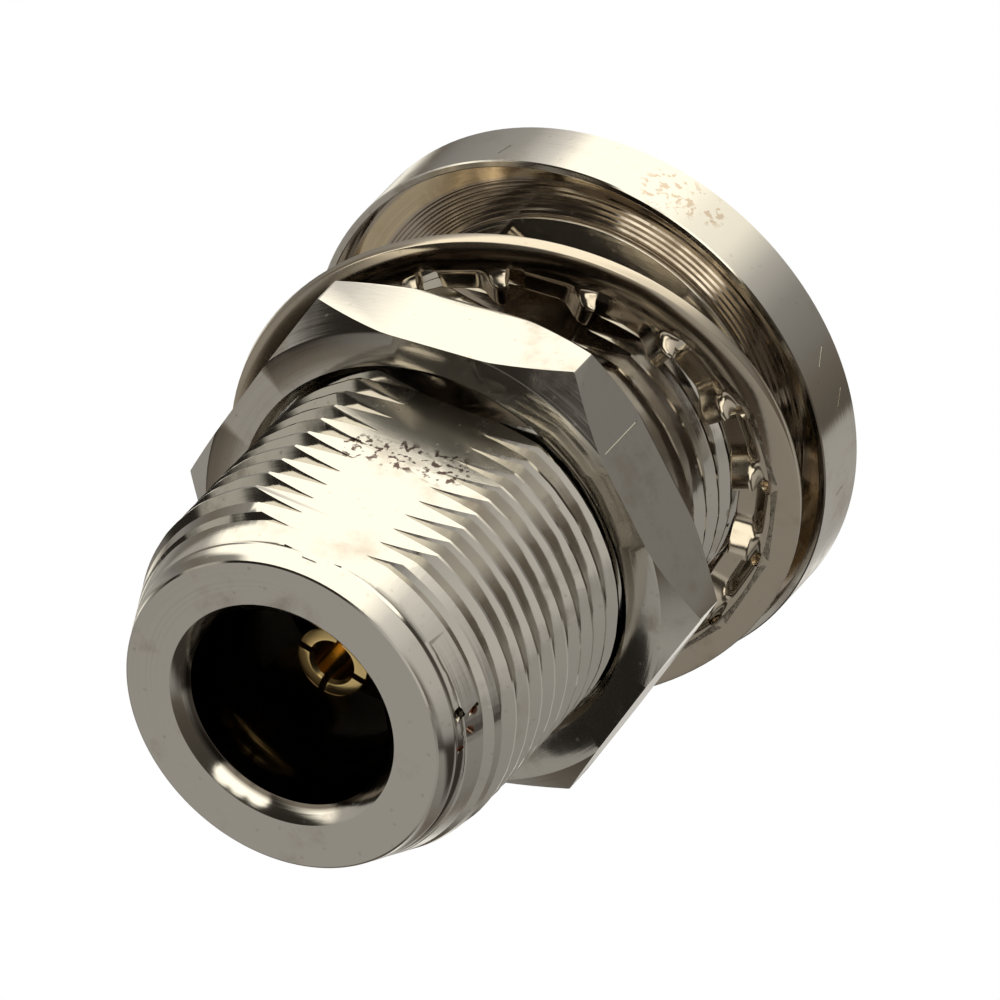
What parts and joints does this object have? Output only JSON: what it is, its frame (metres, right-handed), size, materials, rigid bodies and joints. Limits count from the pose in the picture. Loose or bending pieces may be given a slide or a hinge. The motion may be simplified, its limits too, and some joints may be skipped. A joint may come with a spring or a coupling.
{
  "type": "n type coaxial panel connector",
  "caption": "Threaded coaxial panel socket with a milled flat, a recessed round flange, a solder cup, a hex nut and an internal-tooth lock washer on its thread.",
  "frame": {"origin": "centre of the mating face, the flat ring at the socket's open end, on which the connector stands", "axes": "+Z along the connector's axis from the mating face toward the flange and the solder cup, +X out through the flat milled along the thread, +Y completes a right-handed frame"},
  "size_m": [0.0224, 0.0222, 0.0335],
  "materials": {
    "nickel_plate": "bright nickel plate over turned brass",
    "washer_plate": "satin nickel plate over phosphor bronze sheet",
    "gold_plate": "gold plate over brass",
    "insulator": "white fluoropolymer, turned"
  },
  "bodies": {
    "body": {"shell": "nickel_plate", "center_contact": "gold_plate", "front_insulator": "insulator", "rear_insulator": "insulator", "retaining_ring": "nickel_plate"},
    "washer": {"lock_washer": "washer_plate"},
    "nut": {"hex_nut": "nickel_plate"}
  },
  "joints": [
    {"name": "washer_slide", "type": "slide", "parent": "body", "child": "washer", "axis": [0, 0, 1], "range_m": [-0.0158, 0.0011]},
    {"name": "nut_turn", "type": "hinge", "parent": "washer", "child": "nut", "pos_m": [0, 0, 0.014], "axis": [0, 0, 1], "range_deg": [-5380, 378]}
  ],
  "couplings": [
    {"joint": "nut_turn", "follows": "washer_slide", "rad_per_m": 5937}
  ]
}
